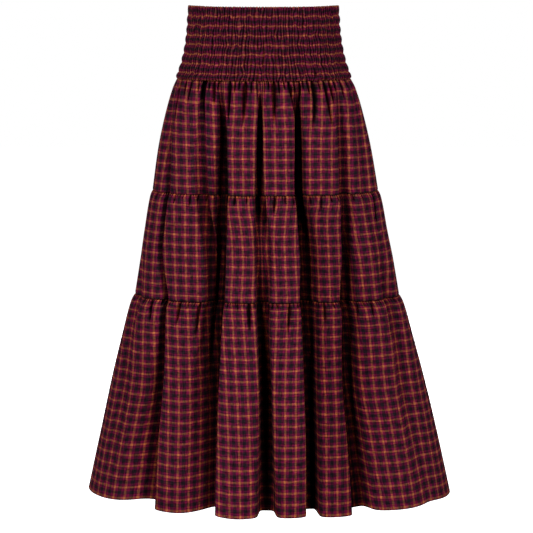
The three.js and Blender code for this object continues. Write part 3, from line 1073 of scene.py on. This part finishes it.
            # Painted shade: shut valleys, crease gaps, puckers and the seams darken the colour; the
            # hidden seam allowance is fully shaded
            shadow = (section.painted_pocket_shade / self.POCKET_SHADE) ** 2
            shadow += self.GAP_SHADE * gap_shade[i] ** self.GAP_POWER
            shadow += (puckered[i] / self.PUCKER_SHADE) ** 2
            shadow += self.seam_shade * self.tuck_at(level.drop, self.SEAM_SHADE_REACH)
            painted_shade[i] = 1 - np.exp(-shadow) if i >= hidden else 1.0
        piece = cloth_mesh(f"{self.name}_{side.label}_cloth", places, charts, painted_shade)
        piece.data.materials.append(cotton)
        thicken(piece, CLOTH_THICKNESS)
        declare(piece, f"{self.name}_{side.label}")
        return piece


@dataclass
class ShirredBand:
    """The waistband: a heading over rows of elastic thread, with puffs and fine ribs between.

    The rows of elastic hold the ribs and the check off their even places a little.
    """

    heading: float = ELASTIC_ROWS[0]
    puff: float = 2.7
    heading_puff: float = 1.6
    ribs: int = 72
    rib_depth: float = 3.2
    columns: int = 500
    rows: int = 56
    cloth_width: float = 663.0
    heading_shift: float = 4.5
    shuffle_across: float = 1.8
    shuffle_down: float = 1.5
    seed: int = 5

    HEADING_EDGE = 0.35
    PUFF_POWER = 0.8
    RIB_JITTER = 0.28
    RIB_HEIGHTS = (0.3, 1.45)
    RIDGE_POWER = 0.9
    RIDGE_MEAN = 0.7
    RUFFLE_TOP = 0.8
    SHADE_FROM = 0.1
    SHADE_REACH = 1.7
    LAST_STEP = 1.001

    def rows_down(self, drop: np.ndarray | float) -> np.ndarray | float:
        """How many rows of elastic lie between the heading and a drop."""
        return np.interp(drop, ELASTIC_ROWS, np.arange(len(ELASTIC_ROWS)))

    def puff_at(self, drop: np.ndarray) -> np.ndarray:
        """Works out how far the cloth stands off the elastic.

        Args:
            drop: The rows' drops.

        Returns:
            The stand-off in millimetres.
        """
        share = (drop / self.heading + self.HEADING_EDGE) / (1 + self.HEADING_EDGE)
        in_heading = self.heading_puff * np.sin(np.pi * share)
        in_rows = self.puff * np.abs(np.sin(np.pi * self.rows_down(drop))) ** self.PUFF_POWER
        return np.where(drop < self.heading, np.maximum(in_heading, 0), in_rows)

    def ribs_at(self, drops: np.ndarray, share: np.ndarray) -> tuple[np.ndarray, np.ndarray]:
        """Draws fine ribs that wander from one row of elastic to the next.

        Args:
            drops: Each row's drop.
            share: The columns' shares of the panel's width.

        Returns:
            How far the ribs stand out and the count of ribs so far, row by column.
        """
        rng = np.random.default_rng(self.seed)
        stations = len(ELASTIC_ROWS) + 1
        knots = np.linspace(0, 1, self.ribs + 1)
        numbers = np.arange(self.ribs + 2)
        phases = []
        for _ in range(stations):
            jitter = rng.normal(0, self.RIB_JITTER, self.ribs + 1)
            phases.append(np.interp(share, knots, numbers[:-1] + jitter))
        heights = rng.uniform(*self.RIB_HEIGHTS, (stations, self.ribs + 2))
        place = np.where(drops < self.heading, drops / self.heading, 1 + self.rows_down(drops))
        place = np.clip(place, 0, stations - self.LAST_STEP)
        out = np.empty((len(drops), len(share)))
        counted = np.empty_like(out)
        for i, at in enumerate(place):
            k = int(at)
            t = at - k
            t = t * t * (3 - 2 * t)
            phase = (1 - t) * phases[k] + t * phases[k + 1]
            own = (1 - t) * np.interp(phase, numbers, heights[k])
            own += t * np.interp(phase, numbers, heights[k + 1])
            ridge = np.abs(np.sin(np.pi * phase)) ** self.RIDGE_POWER
            out[i] = self.rib_depth * own * (ridge - self.RIDGE_MEAN)
            counted[i] = phase
        return out, counted

    def shuffle(self, drops: np.ndarray, share: np.ndarray) -> np.ndarray:
        """Works out how far the elastic holds the check off its even place.

        Args:
            drops: Each row's drop.
            share: The columns' shares of the panel's width.

        Returns:
            The offset of the chart's two coordinates in millimetres, row by column by two.
        """
        rng = np.random.default_rng(self.seed + 1)
        knots = np.linspace(0, 1, self.ribs + 1)
        stations = 2 * len(ELASTIC_ROWS) + 2
        sideways = rng.normal(0, self.shuffle_across, (stations, self.ribs + 1))
        upwards = rng.normal(0, self.shuffle_down, (stations, self.ribs + 1))
        below = 2 + 2 * self.rows_down(drops)
        place = np.where(drops < self.heading, 2 * drops / self.heading, below)
        place = np.clip(place, 0, stations - self.LAST_STEP)
        offset = np.empty((len(drops), len(share), 2))
        for i, at in enumerate(place):
            k = int(at)
            t = at - k
            for axis, table in enumerate((sideways, upwards)):
                mixed = (1 - t) * table[k] + t * table[k + 1]
                offset[i, :, axis] = np.interp(share, knots, mixed)
        return offset

    def build(self, side: Side, cotton: bpy.types.Material) -> bpy.types.Object:
        """Builds one panel of the waistband.

        Args:
            side: The panel.
            cotton: The cloth's material.

        Returns:
            The finished piece.
        """
        drops = np.append(np.linspace(0, BAND_SEAM, self.rows), BAND_SEAM)
        share = np.linspace(0, 1, self.columns + 1)
        ribs, phases = self.ribs_at(drops, share)
        puffs = self.puff_at(drops)
        places = np.empty((len(drops), len(share), 3))
        charts = np.empty((len(drops), len(share), 2))
        for i, drop in enumerate(drops):
            level = BAND_OUTLINE.at(drop)
            section = section_line(level, (), side, self.columns)
            move = puffs[i] + ribs[i] if i < self.rows else np.full(len(share), -TURNED_EDGE)
            places[i, :, :2] = section.places + section.outward * move[:, None]
            ruffle = EDGE_RUFFLE * float(smooth_step(self.heading, 0, drop))
            places[i, :, 2] = height_at(level, section.degrees)
            places[i, :, 2] += ruffle * np.minimum(ribs[i], self.RUFFLE_TOP)
            charts[i, :, 0] = phases[i] * self.cloth_width / self.ribs
            if drop < self.heading:
                charts[i, :, 0] += self.heading_shift
                charts[i, :, 1] = CHECK_REPEAT * (1 - drop / self.heading)
            else:
                charts[i, :, 1] = -CHECK_REPEAT * float(self.rows_down(drop))
        charts += self.shuffle(drops, share)
        # Painted shade in the grooves between the ribs
        sunk = np.maximum(0, self.SHADE_FROM * self.rib_depth - ribs)
        painted_shade = 1 - np.exp(-sunk / self.SHADE_REACH)
        piece = cloth_mesh(f"waistband_{side.label}_cloth", places, charts, painted_shade)
        piece.data.materials.append(cotton)
        thicken(piece, CLOTH_THICKNESS)
        declare(piece, f"waistband_{side.label}")
        return piece


def declare(piece: bpy.types.Object, node: str) -> None:
    """Hangs a finished piece of cloth on the root body and hides the solid whose place it takes.

    Args:
        piece: The cloth.
        node: The solid whose place it takes.
    """
    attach(piece, "root")
    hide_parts(node)


@dataclass
class Studio:
    """A pale floor, a white surround, soft lights at both sides and the camera."""

    distance: float = 4.64
    camera_height: float = 0.115
    aim_height: float = -0.4898
    aside: float = 0.0056
    lens: float = 167.54
    floor_height: float = -1.25
    light_distance: float = 4.0
    light_height: float = 1.1
    floor_reach: float = 12.0
    floor_colour: str = "#fbfbfb"
    floor_roughness: float = 0.9
    fill_light: float = 0.03
    strip_size: tuple[float, float] = (0.9, 2.2)
    strip_azimuth: float = 36.0
    strip_power: float = 84.0
    left_share: float = 1.1
    wing_azimuth: float = 85.0
    wing_power: float = 12.0
    back_power: float = 110.0

    SENSOR = 36.0
    WHITE = (1, 1, 1, 1)

    def build(self) -> None:
        """Builds the whole studio."""
        self.add_camera()
        self.add_floor()
        self.add_surround()
        for name, azimuth, power in (
            ("left strip box", -self.strip_azimuth, self.left_share * self.strip_power),
            ("right strip box", self.strip_azimuth, self.strip_power),
            ("far left strip box", -self.wing_azimuth, self.wing_power),
            ("far right strip box", self.wing_azimuth, self.wing_power),
            ("back strip box", 180.0, self.back_power),
        ):
            self.add_light(name, azimuth, power)
        bpy.context.scene.view_settings.view_transform = "Standard"

    def add_camera(self) -> None:
        """Places the camera at the photograph's distance, height and angle."""
        lens = bpy.data.cameras.new("camera")
        lens.lens = self.lens
        lens.sensor_width = self.SENSOR
        camera = bpy.data.objects.new("camera", lens)
        camera.location = (self.aside, -self.distance, self.camera_height)
        aim = Vector((self.aside, 0, self.aim_height)) - camera.location
        camera.rotation_euler = aim.to_track_quat("-Z", "Y").to_euler()
        bpy.context.scene.collection.objects.link(camera)
        bpy.context.scene.camera = camera

    def add_floor(self) -> None:
        """Lays a floor of matt white paint below the skirt.

        It glows, so that it looks as white as the surround, and throws no light on the cloth.
        """
        sheet = bmesh.new()
        bmesh.ops.create_grid(sheet, x_segments=1, y_segments=1, size=self.floor_reach)
        bmesh.ops.translate(sheet, verts=sheet.verts, vec=(0, 0, self.floor_height))
        mesh = bpy.data.meshes.new("floor")
        sheet.to_mesh(mesh)
        sheet.free()
        floor = bpy.data.objects.new("floor", mesh)
        paint = bpy.data.materials.new("white floor paint")
        paint.use_nodes = True
        shader = paint.node_tree.nodes["Principled BSDF"]
        shader.inputs["Base Color"].default_value = linear(self.floor_colour)
        shader.inputs["Roughness"].default_value = self.floor_roughness
        shader.inputs["Emission Color"].default_value = self.WHITE
        shader.inputs["Emission Strength"].default_value = 1.0
        mesh.materials.append(paint)
        floor.visible_diffuse = False
        floor.visible_glossy = False
        bpy.context.scene.collection.objects.link(floor)

    def add_surround(self) -> None:
        """Surrounds the skirt with white that adds only a little light to it."""
        world = bpy.data.worlds.new("white surround")
        world.use_nodes = True
        tree = world.node_tree
        tree.nodes.clear()
        path = add_node(tree, "ShaderNodeLightPath")
        fill, seen = (
            add_node(tree, "ShaderNodeBackground", {"Color": self.WHITE, "Strength": strength})
            for strength in (self.fill_light, 1.0)
        )
        sides = {0: path.outputs["Is Camera Ray"], 1: fill.outputs[0], 2: seen.outputs[0]}
        either = add_node(tree, "ShaderNodeMixShader", sides)
        add_node(tree, "ShaderNodeOutputWorld", {"Surface": either.outputs[0]})
        bpy.context.scene.world = world

    def add_light(self, name: str, azimuth: float, power: float) -> None:
        """Adds one tall softbox that faces the skirt.

        Args:
            name: The light's name.
            azimuth: Its angle round the skirt from the front, towards +X, in degrees.
            power: Its power in watts.
        """
        box = bpy.data.lights.new(name, "AREA")
        box.shape = "RECTANGLE"
        box.size, box.size_y = self.strip_size
        box.energy = power
        turn = math.radians(azimuth)
        light = bpy.data.objects.new(name, box)
        light.location = (
            self.light_distance * math.sin(turn),
            -self.light_distance * math.cos(turn),
            self.light_height,
        )
        aim = Vector((0, 0, self.aim_height)) - light.location
        light.rotation_euler = aim.to_track_quat("-Z", "Y").to_euler()
        bpy.context.scene.collection.objects.link(light)


TIER_ONE_GATHERS = Gathers(
    front=(
        (-80, -76, 2, 40), (-70, -61, 2, 90), (-62, -58, 2, 35), (-55, -52.5, 2, 45),
        (-48, -46, 1.5, 25), (-43, -36, 3, 110), (-37.5, -36.5, 1.5, 22), (-34.5, -32.5, 2.5, 50),
        (-30.5, -30.5, 1.5, 22), (-22.5, -18.5, 2.5, 85), (-19, -18.5, 1.5, 25),
        (-16, -16, 1.5, 18), (-12, -12, 3, 85), (-8, -8, 1.5, 25), (-4.5, -3.5, 2.5, 45),
        (0.5, 0.5, 1.5, 28), (3, 3, 1.5, 18), (6.5, 5.5, 3, 85), (9.5, 9.5, 1.5, 28),
        (13, 13, 1.5, 18), (16, 17, 2.5, 100), (20, 20, 1.5, 28), (23.5, 23, 2, 45),
        (26.5, 26, 1.5, 18), (29.5, 29.5, 2, 30), (33.5, 30.5, 3, 95), (38, 38, 1.5, 22),
        (43, 40.5, 2.5, 95), (48, 45.5, 2.5, 50), (54, 53, 1.5, 25), (60.5, 58.5, 2, 40),
        (67.5, 67.5, 1.5, 22), (77, 76, 2, 50),
    ),
    pitch=6, long_share=0.45, longest=110, seed=31,
    pucker_pitch=7, pucker_depth=2.2, pucker_length=8,
)
TIER_TWO_GATHERS = Gathers(
    front=(
        (-71.5, -72, 1.5, 20), (-61, -58.5, 3, 65), (-51.5, -51, 1.5, 20), (-42.5, -42, 1.5, 25),
        (-38.5, -38.5, 1.5, 15), (-35, -35, 1.5, 15), (-33, -33, 2, 30), (-16, -16, 1.5, 15),
        (-13.5, -13.5, 2, 20), (-10, -10, 1.5, 15), (-7, -7, 1.5, 15), (-4, -3.5, 3, 55),
        (-1.5, -1.5, 2.5, 45, -8), (0.5, 0, 3, 55), (5.5, 5, 2, 35), (8.5, 8.5, 1.5, 15),
        (11.5, 11.5, 1.5, 20), (21.5, 20, 2.5, 75), (26.5, 26, 1.5, 20), (31, 30, 1.5, 30),
        (34.5, 34.5, 1.5, 15), (38, 38, 1.5, 15), (52, 52, 2, 15), (59.5, 60, 1.5, 15),
        (70.5, 68, 1.5, 70), (80, 80, 1.5, 20),
    ),
    pitch=5.5, long_share=0.3, longest=90, seed=41,
    pucker_pitch=6.5, pucker_depth=2.7, pucker_length=10,
)
TIER_THREE_GATHERS = Gathers(
    front=(
        (-71.5, -70.5, 3.5, 60), (-65, -65, 1.5, 12), (-60, -57, 2.5, 45), (-53.5, -53.5, 1.5, 10),
        (-49, -47.5, 3, 50), (-44.5, -44.5, 1.5, 12), (-40.5, -39.5, 2.5, 45),
        (-37, -36.5, 1.5, 12), (-33, -32, 2.5, 70), (-30, -30, 1.5, 20), (-27, -26, 2, 32),
        (-16.5, -16.5, 1.5, 12), (-14.5, -14.5, 1.5, 10), (-12, -11.5, 1.5, 12),
        (-9, -8.5, 2.5, 55), (-6.5, -6.5, 1.5, 10), (-3.5, -3, 3, 40), (-1.5, -1.5, 2.5, 30, -8),
        (1, 0.5, 3, 40), (3.5, 3.5, 1.5, 12), (5.5, 5.5, 1.5, 10), (8.5, 7.5, 2, 60),
        (11, 10.5, 1.5, 12), (13.5, 13, 1.5, 15), (21.5, 21.5, 1.5, 10), (24, 24, 1.5, 12),
        (26.5, 25.5, 2, 42), (29.5, 29.5, 1.5, 12), (32.5, 32.5, 1.5, 10), (41.5, 41.5, 1.5, 10),
        (45, 43, 2, 32), (48.5, 48.5, 1.5, 12), (52.5, 50.5, 2, 32), (57, 57, 1.5, 10),
        (63.5, 57.5, 3, 80), (73.5, 74.5, 1.5, 12),
    ),
    pitch=5, long_share=0.35, longest=80, seed=51,
    pucker_pitch=6.5, pucker_depth=2.8, pucker_length=11,
)
TIERS = (
    Tier(
        "tier_one", BAND_SEAM, SEAM_ONE, TIER_ONE_GATHERS, 600, 54,
        weft=((134.5, -1.15), (137.5, -1), (156, 0), (180.4, 1), (200, 2), (239.2, 4), (344, 9.53)),
        shifts=(0, 0, 7, 0, -9, 0),
        sway=((-90, 6), (-50, 6.5), (-38, 5.5), (-27, 2.4), (-10, 0.8), (0, 0), (90, 0)),
        tuck=1.5, seam_shade=0.2, seam_folds=(),
    ),
    Tier(
        "tier_two", SEAM_ONE, SEAM_TWO, TIER_TWO_GATHERS, 560, 52,
        weft=((344, -1.1), (346, -1), (363.2, 0), (530.1, 9), (541, 9.6)),
        shifts=(0, 8, -3.5, -4.5, -3.5, 0),
    ),
    Tier(
        "tier_three", SEAM_TWO, HEM, TIER_THREE_GATHERS, 620, 72,
        weft=(
            (541, -1.2), (543, -1), (553.4, 0), (679, 7), (738.3, 10), (814, 14), (875.5, 17),
            (919, 19.2),
        ),
        shifts=(0, 0, -8, -2, -2, 0),
    ),
)


def main() -> None:
    """Builds the studio and the skirt's pieces in order."""
    logging.basicConfig(level=logging.INFO, format="%(message)s")
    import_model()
    cotton = CheckedCotton().build("checked brushed cotton")
    shirred = CheckedCotton(warp_contrast=0.5, weft_share=0.62).build("shirred checked cotton")
    Studio().build()
    for part in (ShirredBand(), *TIERS):
        for side in Side:
            piece = part.build(side, shirred if isinstance(part, ShirredBand) else cotton)
            LOG.info("%s built", piece.name)


if __name__ == "__main__":
    main()
